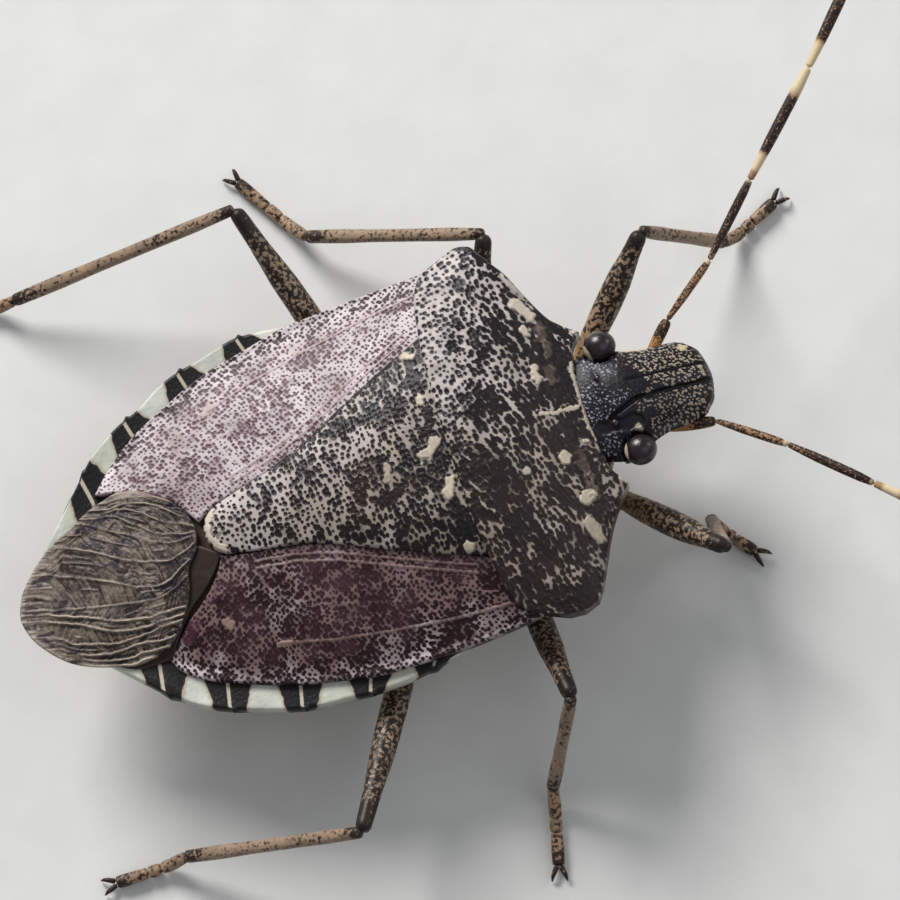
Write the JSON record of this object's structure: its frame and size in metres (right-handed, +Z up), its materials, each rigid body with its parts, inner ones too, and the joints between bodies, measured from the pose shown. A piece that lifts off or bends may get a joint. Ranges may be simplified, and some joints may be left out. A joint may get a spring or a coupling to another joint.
{
  "type": "shield bug",
  "caption": "Life-size shield bug standing on its legs, with a flat shield-shaped back, a triangular scutellum, folded wings and long feelers, as a still museum model.",
  "frame": {"origin": "on the floor under the middle of the whole bug's box, feelers and legs included", "axes": "+X forward towards the head, +Y towards the bug's left, +Z up; the feet stand at zero"},
  "size_m": [0.0224, 0.018, 0.0048],
  "materials": {
    "mottled_shield": "satin cuticle, cream ground closely pitted with dark brown",
    "wing": "satin leathery wing with dark pits and a wrinkled bronze membrane",
    "dark_head": "satin black with fine pale specks",
    "eye": "gloss dark purple-brown",
    "underside": "satin tan with fine dark pits, banded black and white at the rim",
    "leg": "satin tan mottled with dark brown",
    "feeler": "satin brown and black with cream bands"
  },
  "bodies": {
    "root": {"head": "dark_head", "eye_left": "eye", "eye_right": "eye", "beak": "leg", "pronotum": "mottled_shield", "scutellum": "mottled_shield", "forewing_left": "wing", "forewing_right": "wing", "thorax": "underside", "abdomen": "underside", "antenna_left": "feeler", "antenna_right": "feeler", "femur_fore_left": "leg", "femur_fore_right": "leg", "femur_mid_left": "leg", "femur_mid_right": "leg", "femur_hind_left": "leg", "femur_hind_right": "leg", "tibia_fore_left": "leg", "tibia_fore_right": "leg", "tibia_mid_left": "leg", "tibia_mid_right": "leg", "tibia_hind_left": "leg", "tibia_hind_right": "leg", "tarsus_fore_left": "leg", "tarsus_fore_right": "leg", "tarsus_mid_left": "leg", "tarsus_mid_right": "leg", "tarsus_hind_left": "leg", "tarsus_hind_right": "leg"}
  },
  "joints": []
}
